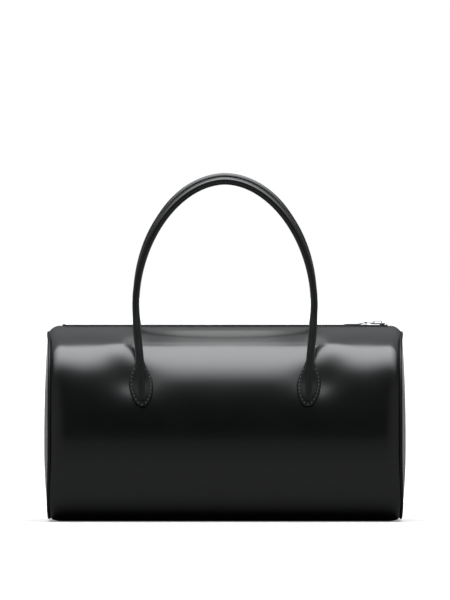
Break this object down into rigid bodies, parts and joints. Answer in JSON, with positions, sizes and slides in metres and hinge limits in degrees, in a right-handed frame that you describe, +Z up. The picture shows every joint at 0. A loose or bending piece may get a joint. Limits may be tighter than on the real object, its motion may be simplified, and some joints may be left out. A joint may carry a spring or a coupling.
{
  "type": "tote bag",
  "caption": "Black polished-leather barrel tote bag with piped, domed ends, a metal zip along the top and rolled arch handles on stitched teardrop tabs.",
  "frame": {"origin": "on the floor, under the middle of the bag's bounding box", "axes": "+X along the zip to the end with the slider, +Y to the rear, +Z up; the front handle is on the -Y side"},
  "size_m": [0.3616, 0.1758, 0.3475],
  "materials": {
    "shell_leather": "polished smooth black leather",
    "trim_leather": "smooth black leather, semi-gloss, stitched with dark grey thread",
    "lining_cloth": "matte woven cotton",
    "bonded_board": "bonded leather-fibre board",
    "tape_cloth": "woven black zip tape",
    "zip_metal": "bright nickel plate",
    "core_cord": "twisted cotton cord"
  },
  "bodies": {
    "bag": {"body_panel": "shell_leather", "lining_body": "lining_cloth", "base_board": "bonded_board", "piping_right": "trim_leather", "end_panel_right": "shell_leather", "end_stiffener_right": "bonded_board", "lining_end_right": "lining_cloth", "zip_end_tab_right": "shell_leather", "piping_left": "trim_leather", "end_panel_left": "shell_leather", "end_stiffener_left": "bonded_board", "lining_end_left": "lining_cloth", "zip_end_tab_left": "shell_leather", "zip_tape_rear": "tape_cloth", "zip_tape_front": "tape_cloth", "zip_teeth_rear": "zip_metal", "zip_teeth_front": "zip_metal", "zip_top_stop_rear": "zip_metal", "zip_top_stop_front": "zip_metal", "zip_bottom_stop": "zip_metal", "handle_tab_front_right": "trim_leather", "tab_backing_front_right": "bonded_board", "handle_tab_front_left": "trim_leather", "tab_backing_front_left": "bonded_board", "handle_tab_rear_right": "trim_leather", "tab_backing_rear_right": "bonded_board", "handle_tab_rear_left": "trim_leather", "tab_backing_rear_left": "bonded_board"},
    "handle_front": {"handle_cover_front": "trim_leather", "handle_core_front": "core_cord"},
    "handle_rear": {"handle_cover_rear": "trim_leather", "handle_core_rear": "core_cord"},
    "slider": {"zip_slider": "zip_metal"},
    "puller": {"puller_link": "zip_metal", "puller_tab": "trim_leather"}
  },
  "joints": [
    {"name": "handle_front_fold", "type": "hinge", "parent": "bag", "child": "handle_front", "pos_m": [0, -0.06688, 0.16598], "axis": [1, 0, 0], "range_deg": [0, 95]},
    {"name": "handle_rear_fold", "type": "hinge", "parent": "bag", "child": "handle_rear", "pos_m": [0, 0.06688, 0.16598], "axis": [-1, 0, 0], "range_deg": [0, 95]},
    {"name": "zip_slide", "type": "slide", "parent": "bag", "child": "slider", "axis": [-1, 0, 0], "range_m": [0, 0.303], "deforming": ["zip_teeth_front", "zip_teeth_rear"]},
    {"name": "puller_flip", "type": "hinge", "parent": "slider", "child": "puller", "pos_m": [0.14966, 0, 0.1985], "axis": [0, 1, 0], "range_deg": [0, 165]}
  ]
}
